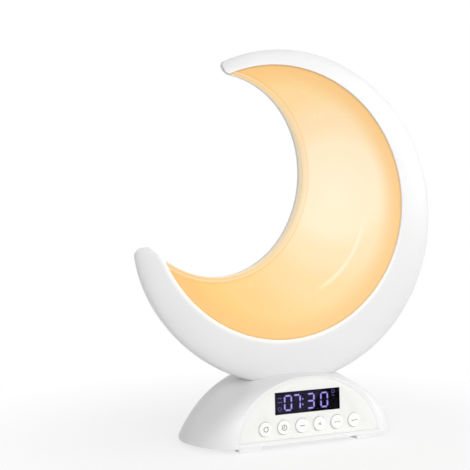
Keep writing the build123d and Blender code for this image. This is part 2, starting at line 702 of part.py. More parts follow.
# ================================================================ main board and what it carries
main_top = MAIN_BOARD_Z + BOARD_T
main_board = block(MAIN_X0, MAIN_X1, MAIN_Y0, MAIN_Y1, MAIN_BOARD_Z, main_top)
main_screws = []
for x, y in stand_spots:
    main_board -= post(BOARD_SCREW_R + SCREW_CLEARANCE, x, y, 0, FAR)
    screw = post(BOARD_SCREW_R, x, y, MAIN_BOARD_Z - MAIN_SCREW_BITE, main_top)
    screw += post(BOARD_SCREW_HEAD_R, x, y, main_top, main_top + BOARD_SCREW_HEAD_H)
    main_screws.append(screw)
save(main_board, "main_board")
save(Compound(children=main_screws), "main_board_screws")
parts_on_board = []
for x, y, w, d, h in CHIPS:
    parts_on_board.append(block(x - w / 2, x + w / 2, y - d / 2, y + d / 2, main_top, main_top + h))
save(Compound(children=parts_on_board), "board_chips")
cell_low = main_top + HOLDER_FLOOR
holder = post(CELL_R + HOLDER_WALL, CELL_X, CELL_Y, main_top, cell_low + CELL_T)
holder -= post(CELL_R + SEAM, CELL_X, CELL_Y, cell_low, FAR)
save(holder, "cell_holder")
save(post(CELL_R, CELL_X, CELL_Y, cell_low, cell_low + CELL_T), "backup_cell")

jack_face = BASE_BACK - JACK_RECESS
jack_floor = jack_face - JACK_BORE_DEPTH
jack_half = JACK_BODY_W / 2
jack_body_back = jack_face - JACK_NOSE_L
jack_x0 = JACK_X - jack_half
jack = block(jack_x0, jack_x0 + JACK_BODY_W, jack_face - JACK_BODY_L, jack_body_back, main_top, JACK_Z + jack_half)
jack += disc(JACK_NOSE_R, JACK_X, JACK_Z, jack_body_back, jack_face)
jack -= disc(JACK_BORE_R, JACK_X, JACK_Z, jack_floor, FAR)
jack -= disc(JACK_ROOT_R, JACK_X, JACK_Z, jack_floor - JACK_ROOT_L, FAR)
save(jack, "dc_jack")
jack_pin = disc(JACK_PIN_R, JACK_X, JACK_Z, jack_floor, jack_face - JACK_PIN_SUNK)
jack_pin += disc(JACK_ROOT_R, JACK_X, JACK_Z, jack_floor - JACK_ROOT_L, jack_floor)
save(jack_pin, "dc_jack_pin")

# ================================================================ speaker
sp_low = PLATE_TOP
sp_top = sp_low + SPEAKER_FRAME_T
frame_inner = SPEAKER_R - SPEAKER_RING_W
magnet_hole = SPEAKER_MAGNET_R - SPEAKER_RING_W
frame = post(SPEAKER_R, SPEAKER_X, SPEAKER_Y, sp_low, sp_top)
frame -= post(frame_inner, SPEAKER_X, SPEAKER_Y, 0, sp_top - SPEAKER_FRAME_WALL)
frame -= post(magnet_hole, SPEAKER_X, SPEAKER_Y, 0, FAR)
save(frame, "speaker_frame")
save(post(SPEAKER_MAGNET_R, SPEAKER_X, SPEAKER_Y, sp_top, sp_top + SPEAKER_MAGNET_H), "speaker_magnet")
cone_mid = sp_low + SPEAKER_CONE_UP + SPEAKER_CONE_H / 2
cone = Cone(frame_inner - SEAM, magnet_hole - SCREW_CLEARANCE, SPEAKER_CONE_H)
save(Pos(SPEAKER_X, SPEAKER_Y, cone_mid) * cone, "speaker_cone")

# ================================================================ leads
plug_half = PLUG_W / 2
plug_back = board_back_y + PLUG_D
plug = block(MOON_X - plug_half, MOON_X + plug_half, board_back_y, plug_back, PLUG_Z, PLUG_Z + PLUG_H)
save(plug, "moon_lead_plug")
path = Spline(
    (MOON_X, board_back_y + PLUG_D / 2, PLUG_Z),
    (MOON_X, NECK_Y, NECK_BOSS_TOP),
    (MOON_X, NECK_Y, NECK_HEAD_Z),
    (LEAD_END_X, LEAD_END_Y, LEAD_END_Z),
    tangents=((0, 0, -1), (0, 0, -1)),
)
lead = sweep(Plane(origin=path @ 0, z_dir=path % 0) * Circle(LEAD_R), path)
save(lead, "moon_lead")
socket_x0 = LEAD_END_X - plug_half
socket_y0 = LEAD_END_Y - SOCKET_D / 2
save(block(socket_x0, socket_x0 + PLUG_W, socket_y0, socket_y0 + SOCKET_D, main_top, LEAD_END_Z), "lead_socket")
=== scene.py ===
import json
import math

import bmesh
import bpy
from mathutils import Matrix, Vector

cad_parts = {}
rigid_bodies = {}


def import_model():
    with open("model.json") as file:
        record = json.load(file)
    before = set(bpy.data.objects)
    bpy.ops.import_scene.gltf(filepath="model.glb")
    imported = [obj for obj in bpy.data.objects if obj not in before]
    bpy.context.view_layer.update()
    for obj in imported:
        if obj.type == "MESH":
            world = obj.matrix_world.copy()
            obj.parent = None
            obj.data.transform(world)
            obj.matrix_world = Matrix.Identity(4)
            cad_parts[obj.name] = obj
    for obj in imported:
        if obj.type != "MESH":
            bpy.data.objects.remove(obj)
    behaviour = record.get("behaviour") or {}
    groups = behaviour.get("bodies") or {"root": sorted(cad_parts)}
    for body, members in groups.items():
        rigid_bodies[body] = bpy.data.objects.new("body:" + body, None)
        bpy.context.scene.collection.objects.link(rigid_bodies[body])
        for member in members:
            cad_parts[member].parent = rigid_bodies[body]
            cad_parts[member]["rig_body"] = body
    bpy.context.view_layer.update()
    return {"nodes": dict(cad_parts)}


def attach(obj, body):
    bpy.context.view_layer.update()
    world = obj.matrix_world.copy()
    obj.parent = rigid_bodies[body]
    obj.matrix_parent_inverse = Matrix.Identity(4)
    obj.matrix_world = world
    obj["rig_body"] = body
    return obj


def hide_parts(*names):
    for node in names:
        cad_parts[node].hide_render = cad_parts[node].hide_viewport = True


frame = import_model()

bl_info = {
    "name": "Sunrise moon alarm clock",
    "version": (1, 0, 0),
    "blender": (4, 5, 0),
    "location": "3D View > Sidebar > Moon clock",
    "description": "Finishes of a crescent moon wake-up lamp on its arched clock base",
    "category": "Object",
}


def paint(red, green, blue):
    """Linear colour of a colour given in 0 to 255."""
    parts = []
    for value in (red, green, blue):
        share = value / 255.0
        parts.append(share / 12.92 if share <= 0.04045 else ((share + 0.055) / 1.055) ** 2.4)
    return tuple(parts)


def numbered(name):
    """Names of a piece that there is one of for each button, counted from 1."""
    return tuple("%s_%d" % (name, index + 1) for index in range(BUTTON_COUNT))


# ---------------------------------------------------------------- shape of the clock
MM = 0.001
LEAN = math.radians(2.5)
RIM_CENTRE = Vector((-10.3, 0.0, 141.3)) * MM
RIM_RADIUS = 82.7 * MM
PANEL_RADIUS = 80.7 * MM
HOLLOW_CENTRE = Vector((-49.9, 0.0, 156.0)) * MM
HOLLOW_RADIUS = 58.4 * MM
FASCIA_ORIGIN = Vector((0.0, -38.0, 25.7)) * MM
FASCIA_FRAME = Matrix.Translation(FASCIA_ORIGIN) @ Matrix.Rotation(math.radians(90) - LEAN, 4, "X")
BUTTON_COUNT = 6
BUTTON_NODES = numbered("button")
BUTTON_PITCH = 11.63 * MM
BUTTON_DROP = 13.6 * MM
BUTTON_PROUD = 0.9 * MM

# ---------------------------------------------------------------- marks on the buttons
MARK_LINE = 0.36 * MM
MARK_SUNK = 0.02 * MM
MARK_PROUD = 0.03 * MM
RING_CORNERS = 32
# strokes of the marks: ring with place, radius and the angles it is open between, or bar with
# place, turn and length, in millimetres and degrees from the middle of each button
BUTTON_MARKS = (
    (("ring", 0.0, 0.0, 1.35, 20.0, 75.0), ("bar", 1.15, 0.95, 90.0, 0.9), ("bar", 0.8, 1.3, 0.0, 0.9)),
    (("ring", 0.0, 0.0, 1.5, 70.0, 110.0), ("bar", 0.0, 0.85, 90.0, 1.9), ("bar", -0.35, -0.3, 50.0, 0.9)),
    (("bar", 0.0, 0.0, 0.0, 3.0),),
    (("bar", -0.75, 0.0, 90.0, 1.3), ("bar", 0.15, 0.3, -40.0, 1.0), ("bar", 0.15, -0.3, 40.0, 1.0)),
    (("bar", -1.5, 0.0, 0.0, 1.1), ("bar", 0.1, 0.0, 0.0, 1.1), ("bar", 1.6, 0.0, 90.0, 0.8)),
    (("bar", -1.2, -0.2, 0.0, 1.4), ("bar", 0.2, 0.0, 90.0, 0.8), ("bar", 1.4, 0.2, 0.0, 1.2)),
)

# ---------------------------------------------------------------- dressing of the copied nodes
MERGE_DISTANCE = 0.002 * MM
FLAT_ANGLE = math.radians(0.6)
SMOOTH_ANGLE = math.radians(32.0)
ROUND_ANGLE = math.radians(38.0)
ROUND_SEGMENTS = 2
FIGURE_FLAT_ANGLE = math.radians(2.0)
FIGURE_CORE_INSET = 0.3 * MM
FRONT_FACING = -0.9

# ---------------------------------------------------------------- surfaces and tones
# values of the noise between which a finish drifts from one end to the other
DRIFT_LOW = 0.3
DRIFT_HIGH = 0.7
# noises of the mouldings: scale and detail
MOULD_TONE_NOISE = (18.0, 3.0)
MOULD_SHEEN_NOISE = (90.0, 4.0)
MOULD_TONE_DROP = 0.965
MOULD_COAT_ROUGHNESS = 0.3
MOULD_BUMP = 0.25
METAL_TONE_DETAIL = 4.0
METAL_TONE_DROP = 0.8
METAL_SHEEN_FINER = 3.0
METAL_SHEEN_DETAIL = 2.0
METAL_SHEEN_LOW = 0.8
METAL_SHEEN_HIGH = 1.3
METAL_GRAIN_FINER = 8.0
METAL_BUMP = (0.2, 0.02 * MM)
# mouldings: roughness from and to, fineness and depth of the grain, then specular and coat share
SHELL_SURFACE = (0.32, 0.40, 260.0, 0.012 * MM, 0.45, 0.15)
UNDERSIDE_SURFACE = (0.45, 0.55, 900.0, 0.03 * MM)
FASCIA_SURFACE = (0.5, 0.6, 1400.0, 0.03 * MM, 0.3)
PAD_SURFACE = (0.75, 0.9, 1800.0, 0.05 * MM, 0.2)
BUTTON_SURFACE = (0.36, 0.44, 1100.0, 0.02 * MM, 0.35)
INK_SURFACE = (0.5, 0.6, 1500.0, 0.01 * MM, 0.2)
PAD_GREY = (0.55, 0.55, 0.54)
BUTTON_WHITE = (0.85, 0.85, 0.845)
INK_GREY = (0.11, 0.11, 0.115)

# axes that count in a distance: as seen from the front, and as seen from above
FRONT_AXES = (1.0, 0.0, 1.0)
PLAN_AXES = (1.0, 1.0, 0.0)

# a band holds the two values between which a share changes, and then the share at each of them

# lip round the panel: a painted highlight, brighter about the rim and most of all low on the left, with a
# painted warm glow from the lit panel
LIP_HIGHLIGHT_BAND = (RIM_RADIUS - 1.4 * MM, RIM_RADIUS + 1.3 * MM, 1.0, 0.0)
LIP_HIGHLIGHT_SIDE = (-0.5, 0.0, -0.866)
LIP_HIGHLIGHT_SIDE_BAND = (-0.4, 0.25, 0.12, 1.0)
LIP_HIGHLIGHT_WHITE = (0.86, 0.85, 0.81)
LIP_PAINTED_GLOW = (1.0, 0.93, 0.80)
LIP_PAINTED_GLOW_LEVEL = 0.08
NO_PAINTED_GLOW = (0.0, 0.0, 0.0)

# lit panel: colours by the share of the way from its palest place out to the horns
GLOW_MIDDLE = (30.0 * MM, 0.0, 150.0 * MM)
GLOW_REACH = 125.0 * MM
GLOW_STEPS = (
    (0.20, paint(255, 236, 200)),
    (0.33, paint(254, 226, 180)),
    (0.50, paint(254, 218, 158)),
    (0.70, paint(254, 212, 141)),
    (0.84, paint(253, 207, 126)),
)
HORN_SHARE = 0.95
RIM_GLOW = paint(250, 200, 130)
RIM_BAND = (0.80 * RIM_RADIUS, 0.95 * RIM_RADIUS, 0.0, 0.85)
# painted shade: a thin darker line along the panel's seam against the lip
SEAM_SHADE = paint(214, 168, 98)
SEAM_SHADE_BAND = (PANEL_RADIUS - 1.1 * MM, PANEL_RADIUS - 0.2 * MM, 0.0, 0.55)
ROLL_GLOW = paint(247, 188, 108)
ROLL_BAND = (HOLLOW_RADIUS + 3.0 * MM, HOLLOW_RADIUS + 4.6 * MM, 0.34, 0.0)
# painted highlight: a pale line along the rounded roll beside the hollow
ROLL_HIGHLIGHT = paint(255, 240, 214)
ROLL_HIGHLIGHT_RISE = (HOLLOW_RADIUS + 1.2 * MM, HOLLOW_RADIUS + 2.0 * MM, 0.0, 1.0)
ROLL_HIGHLIGHT_FALL = (HOLLOW_RADIUS + 2.1 * MM, HOLLOW_RADIUS + 3.0 * MM, 0.45, 0.0)
EDGE_GLOW = paint(238, 224, 190)
EDGE_BAND = (HOLLOW_RADIUS + 0.3 * MM, HOLLOW_RADIUS + 1.6 * MM, 0.6, 0.0)
# painted highlight: a pale arc round the dish, on its lower right stretch only
CREASE_HIGHLIGHT = paint(255, 246, 218)
CREASE_HIGHLIGHT_RISE = (0.683 * RIM_RADIUS, 0.700 * RIM_RADIUS, 0.0, 1.0)
CREASE_HIGHLIGHT_FALL = (0.702 * RIM_RADIUS, 0.730 * RIM_RADIUS, 1.0, 0.0)
CREASE_HIGHLIGHT_SIDE = (0.79, 0.0, -0.61)
CREASE_HIGHLIGHT_SIDE_BAND = (0.86, 0.97, 0.0, 0.6)
PANEL_MILK = 0.36
PANEL_GRAIN = 240.0
PANEL_BUMP = (0.15, 0.02 * MM)

# window and display: painted glare, lighter on one side of a slanting line; how far right of the front
# plate's middle that line lies, the direction across it and its half width
LENS_GLARE_SLANT = (5.0 * MM, (0.80, 0.0, -0.60), 0.6 * MM)
LENS_GLARE_TINTS = ((0.52, 0.52, 0.56), (0.46, 0.46, 0.54))
LENS_IOR = 1.12
# painted glare on the display face: lighter on one side of a slanting line
DISPLAY_GLARE_SLANT = (5.5 * MM, (0.87, 0.0, -0.49), 0.4 * MM)
DISPLAY_GLARE_TONES = (paint(60, 53, 74), paint(8, 5, 16))
CORE_VIOLET = paint(205, 196, 250)
SIGN_VIOLET = paint(104, 96, 148)
SIGN_LEVEL = 0.9
SEGMENT_NOISE = (900.0, 2.0)
SEGMENT_TONE_DROP = 0.86

# uneven sheens: scale and detail of the noise, then the roughness from and to
PANEL_SHEEN = (60.0, 3.0, 0.20, 0.28)
LENS_SHEEN = (200.0, 2.0, 0.02, 0.05)
DISPLAY_SHEEN = (300.0, 3.0, 0.4, 0.5)

# finishes of the pieces inside: name, colour, surface and the nodes that have it, where the
# surface of a metal is its roughness and the scale of its noise
MOULDED_WORKINGS = (
    ("black_moulding", (0.012, 0.012, 0.012), (0.4, 0.5, 700.0, 0.03 * MM), (
        "switch_housings", "dc_jack", "cell_holder", "speaker_frame", "speaker_cone", "moon_lead_plug",
        "lead_socket", "board_chips")),
    ("green_board", (0.02, 0.11, 0.05), (0.3, 0.4, 500.0, 0.02 * MM), ("front_board", "main_board")),
    ("white_board", (0.75, 0.75, 0.72), (0.35, 0.45, 500.0, 0.02 * MM), ("led_board",)),
    ("phosphor", (0.8, 0.6, 0.15), (0.4, 0.5, 900.0, 0.02 * MM), ("led_chips",)),
    ("grey_moulding", (0.12, 0.12, 0.12), (0.4, 0.5, 800.0, 0.02 * MM), numbered("switch_plunger")),
    ("soft_lead", (0.5, 0.5, 0.49), (0.5, 0.6, 900.0, 0.03 * MM), ("moon_lead",)),
)
METAL_WORKINGS = (
    ("zinc_plate", (0.62, 0.62, 0.63), (0.32, 500.0), (
        "moon_back_screws", "led_board_screws", "neck_screws", "front_board_screws",
        "main_board_screws", "base_screws")),
    ("bright_steel", (0.75, 0.75, 0.76), (0.22, 700.0), ("backup_cell", "speaker_magnet")),
    ("plated_brass", (0.75, 0.56, 0.25), (0.25, 700.0), ("dc_jack_pin",)),
)

# ---------------------------------------------------------------- stage
FLOOR_SIZE = 12.0
FLOOR_GREY = (0.9, 0.9, 0.9, 1.0)
FLOOR_ROUGHNESS = 0.9
FLOOR_FADE_START = 60.0 * MM
FLOOR_FADE_END = 260.0 * MM
FULL_WHITE = (1.0, 1.0, 1.0, 1.0)
# lamps: name, direction that each stands in and its apparent width in degrees; the level is
# the stage's setting of that name
LAMPS = (
    ("key", (0.45, -0.75, 0.85), 50.0),
    ("fill", (-0.12, -1.0, 0.38), 60.0),
    ("side", (1.0, -0.35, 0.35), 50.0),
    ("sheen", (-0.75, -0.75, 0.28), 18.0),
)
# the camera looks level, and its square frame is shifted so that its axis passes through this
# point of the frame, counted across from the left and down from the top
PICTURE_SIZE = 470.0
PICTURE_MIDDLE = PICTURE_SIZE / 2
AXIS_ACROSS = 280.0
AXIS_DOWN = 220.0
SENSOR_WIDTH = 36.0
CLIP_NEAR = 0.01
CLIP_FAR = 50.0


# ---------------------------------------------------------------- settings
class MoonClockFinish(bpy.types.PropertyGroup):
    shell_white: bpy.props.FloatVectorProperty(
        name="Shell white", description="Colour of the glossy moon and base", subtype="COLOR",
        size=3, min=0.0, max=1.0, default=(0.79, 0.79, 0.797),
    )
    fascia_white: bpy.props.FloatVectorProperty(
        name="Fascia white", description="Colour of the matte front plate", subtype="COLOR",
        size=3, min=0.0, max=1.0, default=(0.80, 0.806, 0.782),
    )
    glow_centre: bpy.props.FloatVectorProperty(
        name="Glow centre", description="Palest colour of the lit panel", subtype="COLOR",
        size=3, min=0.0, max=1.0, default=paint(255, 239, 206),
    )
    glow_horn: bpy.props.FloatVectorProperty(
        name="Glow horns", description="Deepest colour of the lit panel, at the horns", subtype="COLOR",
        size=3, min=0.0, max=1.0, default=paint(254, 186, 92),
    )
    glow_level: bpy.props.FloatProperty(
        name="Glow level", description="How brightly the panel shines by itself", subtype="FACTOR",
        min=0.0, max=2.0, default=0.60,
    )
    digit_colour: bpy.props.FloatVectorProperty(
        name="Digit colour", description="Colour of the lit figures", subtype="COLOR",
        size=3, min=0.0, max=1.0, default=paint(118, 104, 190),
    )
    digit_level: bpy.props.FloatProperty(
        name="Digit level", description="How brightly the figures shine", subtype="FACTOR",
        min=0.0, max=5.0, default=1.2,
    )
    edge_bevel: bpy.props.FloatProperty(
        name="Edge rounding", description="Rounding of the front plate's edges",
        unit="LENGTH", subtype="DISTANCE", min=0.0, max=0.002, default=0.3 * MM,
    )
    lip_bevel: bpy.props.FloatProperty(
        name="Lip rounding", description="Rounding of the moon shell's edges",
        unit="LENGTH", subtype="DISTANCE", min=0.0, max=0.004, default=0.6 * MM,
    )


class MoonClockStage(bpy.types.PropertyGroup):
    camera_place: bpy.props.FloatVectorProperty(
        name="Camera place", description="Where the camera stands", subtype="TRANSLATION",
        unit="LENGTH", size=3, default=(-0.2560, -0.5117, 0.1306),
    )
    camera_turn: bpy.props.FloatProperty(
        name="Camera turn", description="Turn of the camera about the vertical", subtype="ANGLE",
        unit="ROTATION", default=math.radians(-26.526),
    )
    camera_lens: bpy.props.FloatProperty(
        name="Camera lens", description="Focal length in millimetres",
        min=10.0, max=200.0, default=71.04,
    )
    sky_level: bpy.props.FloatProperty(
        name="Sky level", description="Even light from all round", min=0.0, max=2.0, default=0.33,
    )
    key_level: bpy.props.FloatProperty(
        name="Key level", description="Light from the front right above",
        min=0.0, max=10.0, default=0.25,
    )
    fill_level: bpy.props.FloatProperty(
        name="Fill level", description="Light from the front", min=0.0, max=10.0, default=1.6,
    )
    side_level: bpy.props.FloatProperty(
        name="Side level", description="Light from the right", min=0.0, max=10.0, default=1.05,
    )
    sheen_level: bpy.props.FloatProperty(
        name="Sheen level", description="Smaller light on the left shoulder",
        min=0.0, max=10.0, default=0.28,
    )
    floor_white: bpy.props.FloatProperty(
        name="Floor white", description="How far the floor near the clock is lifted towards white",
        subtype="FACTOR", min=0.0, max=1.0, default=0.76,
    )


# ---------------------------------------------------------------- handling objects
def deselect():
    for item in bpy.context.view_layer.objects:
        item.select_set(False)


def activate(item):
    deselect()
    item.select_set(True)
    bpy.context.view_layer.objects.active = item


def coat(item, finish):
    item.data.materials.clear()
    item.data.materials.append(finish)


def coat_node(node, finish):
    """Give a node of the frame its finish in the object's own slots."""
    item = frame["nodes"][node]
    if not item.material_slots:
        item.data.materials.append(finish)
    for slot in item.material_slots:
        slot.link = "OBJECT"
        slot.material = finish


def round_edges(piece, width):
    rounding = piece.modifiers.new("rounding", "BEVEL")
    rounding.width = width
    rounding.segments = ROUND_SEGMENTS
    rounding.limit_method = "ANGLE"
    rounding.angle_limit = ROUND_ANGLE
    activate(piece)
    bpy.ops.object.modifier_apply(modifier=rounding.name)


def dressed_copy(node, name, bevel=0.0):
    """Closed copy of a node with merged corners, rounded edges and smooth shading."""
    source = frame["nodes"][node]
    body = source["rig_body"]
    piece = bpy.data.objects.new(name, source.data.copy())
    piece.data.name = name
    bpy.context.scene.collection.objects.link(piece)
    activate(piece)
    bpy.ops.object.mode_set(mode="EDIT")
    bpy.ops.mesh.select_all(action="SELECT")
    bpy.ops.mesh.remove_doubles(threshold=MERGE_DISTANCE)
    bpy.ops.mesh.customdata_custom_splitnormals_clear()
    if bevel > 0:
        bpy.ops.mesh.dissolve_limited(angle_limit=FLAT_ANGLE)
    bpy.ops.object.mode_set(mode="OBJECT")
    if bevel > 0:
        round_edges(piece, bevel)
    bpy.ops.object.shade_smooth_by_angle(angle=SMOOTH_ANGLE)
    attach(piece, body)
    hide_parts(node)
    return piece


def start_piece(name):
    """Empty mesh object that is ready to be modelled in edit mode."""
    piece = bpy.data.objects.new(name, bpy.data.meshes.new(name))
    bpy.context.scene.collection.objects.link(piece)
    activate(piece)
    bpy.ops.object.mode_set(mode="EDIT")
    return piece


def add_bar(place, turn, length, width):
    """Flat strip about a place, lengthened along its own direction."""
    bpy.ops.mesh.select_all(action="DESELECT")
    bpy.ops.mesh.primitive_plane_add(size=1.0)
    bpy.ops.transform.resize(value=(length, width, 1.0))
    bpy.ops.transform.rotate(value=turn, orient_axis="Z", center_override=(0, 0, 0))
    bpy.ops.transform.translate(value=(place[0], place[1], 0.0))


def add_ring(place, radius, width, first, last):
    """Flat ring about a place, open between two angles in degrees."""
    bpy.ops.mesh.select_all(action="DESELECT")
    bpy.ops.mesh.primitive_circle_add(
        vertices=RING_CORNERS, radius=radius + width / 2, fill_type="NGON")
    bpy.ops.mesh.inset(thickness=width)
    bpy.ops.mesh.delete(type="FACE")
    data = bmesh.from_edit_mesh(bpy.context.object.data)
    for face in data.faces:
        centre = face.calc_center_median()
        angle = math.degrees(math.atan2(centre.y, centre.x)) % 360
        near = abs(math.hypot(centre.x, centre.y) - radius) < width
        face.select_set(first <= angle <= last and near)
    bmesh.update_edit_mesh(bpy.context.object.data)
    bpy.ops.mesh.delete(type="FACE")
    data = bmesh.from_edit_mesh(bpy.context.object.data)
    for vertex in data.verts:
        vertex.select_set(abs(math.hypot(vertex.co.x, vertex.co.y) - radius) < width)
    data.select_flush(True)
    bmesh.update_edit_mesh(bpy.context.object.data)
    bpy.ops.transform.translate(value=(place[0], place[1], 0.0))


def finish_mark(piece, place, thickness):
    """Thicken the flat strokes, turn them square to the front plate and set them at their place."""
    bpy.ops.mesh.select_all(action="SELECT")
    bpy.ops.mesh.extrude_region_move(TRANSFORM_OT_translate={"value": (0.0, 0.0, thickness)})
    bpy.ops.mesh.select_all(action="SELECT")
    bpy.ops.mesh.normals_make_consistent(inside=False)
    bpy.ops.object.mode_set(mode="OBJECT")
    piece.data.transform(FASCIA_FRAME @ Matrix.Translation(place))
    piece.data.update()


# ---------------------------------------------------------------- node helpers
def new_finish(name):
    """Material with an empty tree but for its output and one shader."""
    finish = bpy.data.materials.new(name)
    finish.use_nodes = True
    tree = finish.node_tree
    tree.nodes.clear()
    output = tree.nodes.new("ShaderNodeOutputMaterial")
    shader = tree.nodes.new("ShaderNodeBsdfPrincipled")
    tree.links.new(shader.outputs["BSDF"], output.inputs["Surface"])
    return finish, tree, shader


def object_point(tree):
    return tree.nodes.new("ShaderNodeTexCoord").outputs["Object"]


def grain(tree, scale, detail=2.0):
    noise = tree.nodes.new("ShaderNodeTexNoise")
    noise.inputs["Scale"].default_value = scale
    noise.inputs["Detail"].default_value = detail
    tree.links.new(object_point(tree), noise.inputs["Vector"])
    return noise.outputs["Fac"]


def spread(tree, value, low, high, out_low, out_high, kind="LINEAR"):
    """Value carried over from one range to another and held at its ends."""
    span = tree.nodes.new("ShaderNodeMapRange")
    span.interpolation_type = kind
    span.inputs["From Min"].default_value = low
    span.inputs["From Max"].default_value = high
    span.inputs["To Min"].default_value = out_low
    span.inputs["To Max"].default_value = out_high
    tree.links.new(value, span.inputs["Value"])
    return span.outputs["Result"]


def ease(tree, value, low, high, out_low, out_high):
    """Soft step from one value to another while the driving value goes from low to high."""
    return spread(tree, value, low, high, out_low, out_high, "SMOOTHSTEP")


def uneven(tree, scale, detail, low, high):
    """Value that wanders between two ends over the surface."""
    return spread(tree, grain(tree, scale, detail), DRIFT_LOW, DRIFT_HIGH, low, high)


def combined(tree, operation, first, second):
    step = tree.nodes.new("ShaderNodeMath")
    step.operation = operation
    tree.links.new(first, step.inputs[0])
    tree.links.new(second, step.inputs[1])
    return step.outputs["Value"]


def vector_step(tree, operation, vector, other=None):
    step = tree.nodes.new("ShaderNodeVectorMath")
    step.operation = operation
    tree.links.new(vector, step.inputs[0])
    if other is not None:
        step.inputs[1].default_value = other
    return step


def blend_colour(tree, share, first, second):
    """Blend of two colours, each a tuple or the output of a node."""
    mix = tree.nodes.new("ShaderNodeMix")
    mix.data_type = "RGBA"
    tree.links.new(share, mix.inputs["Factor"])
    for socket, colour in ((mix.inputs["A"], first), (mix.inputs["B"], second)):
        if isinstance(colour, tuple):
            socket.default_value = (*colour[:3], 1.0)
        else:
            tree.links.new(colour, socket)
    return mix.outputs["Result"]


def blend_shader(tree, share, first, second):
    mix = tree.nodes.new("ShaderNodeMixShader")
    tree.links.new(share, mix.inputs["Fac"])
    tree.links.new(first, mix.inputs[1])
    tree.links.new(second, mix.inputs[2])
    return mix.outputs["Shader"]


def colour_steps(tree, value, steps):
    ramp = tree.nodes.new("ShaderNodeValToRGB")
    ramp.color_ramp.interpolation = "EASE"
    band = ramp.color_ramp.elements
    band[0].position, band[0].color = steps[0][0], (*steps[0][1], 1.0)
    band[1].position, band[1].color = steps[-1][0], (*steps[-1][1], 1.0)
    for place, colour in steps[1:-1]:
        element = band.new(place)
        element.color = (*colour, 1.0)
    tree.links.new(value, ramp.inputs["Fac"])
    return ramp.outputs["Color"]


def add_bump(tree, shader, height, strength, distance):
    bump = tree.nodes.new("ShaderNodeBump")
    bump.inputs["Strength"].default_value = strength
    bump.inputs["Distance"].default_value = distance
    tree.links.new(height, bump.inputs["Height"])
    tree.links.new(bump.outputs["Normal"], shader.inputs["Normal"])


def distance_from(tree, centre, axes):
    """Distance of the surface point from a centre along the axes that count, and its vector."""
    away = vector_step(tree, "SUBTRACT", object_point(tree), tuple(centre)).outputs["Vector"]
    kept = vector_step(tree, "MULTIPLY", away, axes).outputs["Vector"]
    return vector_step(tree, "LENGTH", kept).outputs["Value"], kept


def along(tree, vector, direction):
    return vector_step(tree, "DOT_PRODUCT", vector, direction).outputs["Value"]


def direction_share(tree, vector, direction):
    """How far a vector points in a direction: 1 along it, -1 against it."""
    unit = vector_step(tree, "NORMALIZE", vector).outputs["Vector"]
    return along(tree, unit, direction)


def slant_share(tree, shift, direction, half):
    """0 on one side of a slanting line that lies right of the front plate's middle, 1 on the other."""
    _, across = distance_from(tree, FASCIA_ORIGIN + Vector((shift, 0.0, 0.0)), FRONT_AXES)
    return ease(tree, along(tree, across, direction), -half, half, 0.0, 1.0)


# ---------------------------------------------------------------- finishes
def moulded(name, colour, rough_low, rough_high, grain_scale, grain_depth, specular=0.4, coat_share=0.0):
    """Moulded plastic: slight tone drift, uneven sheen and a fine surface grain."""
    finish, tree, shader = new_finish(name)
    drift = uneven(tree, *MOULD_TONE_NOISE, 0.0, 1.0)
    darker = tuple(value * MOULD_TONE_DROP for value in colour[:3])
    tone = blend_colour(tree, drift, darker, tuple(colour[:3]))
    tree.links.new(tone, shader.inputs["Base Color"])
    sheen = uneven(tree, *MOULD_SHEEN_NOISE, rough_low, rough_high)
    tree.links.new(sheen, shader.inputs["Roughness"])
    shader.inputs["Specular IOR Level"].default_value = specular
    shader.inputs["Coat Weight"].default_value = coat_share
    shader.inputs["Coat Roughness"].default_value = MOULD_COAT_ROUGHNESS
    add_bump(tree, shader, grain(tree, grain_scale), MOULD_BUMP, grain_depth)
    return finish


def gloss_white(settings):
    """Glossy white of the shells, made once and shared."""
    return bpy.data.materials.get("gloss_white") or moulded(
        "gloss_white", settings.shell_white, *SHELL_SURFACE)


def lipped_white(settings):
    """Glossy white with painted light on the lip next to the lit panel: a brighter painted highlight and a
    warmer painted glow.
    """
    finish = moulded("lipped_white", settings.shell_white, *SHELL_SURFACE)
    tree = finish.node_tree
    shader = next(node for node in tree.nodes if node.type == "BSDF_PRINCIPLED")
    # the lip mask below places the painted highlight and painted glow near the rim, strongest low on the
    # left
    from_rim, rim_vector = distance_from(tree, RIM_CENTRE, FRONT_AXES)
    near = ease(tree, from_rim, *LIP_HIGHLIGHT_BAND)
    below = ease(tree, direction_share(tree, rim_vector, LIP_HIGHLIGHT_SIDE), *LIP_HIGHLIGHT_SIDE_BAND)
    lip = combined(tree, "MULTIPLY", near, below)
    drifted = shader.inputs["Base Color"].links[0].from_socket
    tree.links.new(blend_colour(tree, lip, drifted, LIP_HIGHLIGHT_WHITE), shader.inputs["Base Color"])
    tree.links.new(blend_colour(tree, lip, NO_PAINTED_GLOW, LIP_PAINTED_GLOW), shader.inputs["Emission Color"])
    shader.inputs["Emission Strength"].default_value = LIP_PAINTED_GLOW_LEVEL
    return finish


def metal(name, colour, rough, scale):
    """Plated metal: uneven tone and sheen with a very fine grain."""
    finish, tree, shader = new_finish(name)
    darker = tuple(value * METAL_TONE_DROP for value in colour)
    drift = uneven(tree, scale, METAL_TONE_DETAIL, 0.0, 1.0)
    tree.links.new(blend_colour(tree, drift, darker, colour), shader.inputs["Base Color"])
    sheen = uneven(
        tree, scale * METAL_SHEEN_FINER, METAL_SHEEN_DETAIL,
        rough * METAL_SHEEN_LOW, rough * METAL_SHEEN_HIGH)
    tree.links.new(sheen, shader.inputs["Roughness"])
    shader.inputs["Metallic"].default_value = 1.0
    add_bump(tree, shader, grain(tree, scale * METAL_GRAIN_FINER), *METAL_BUMP)
    return finish


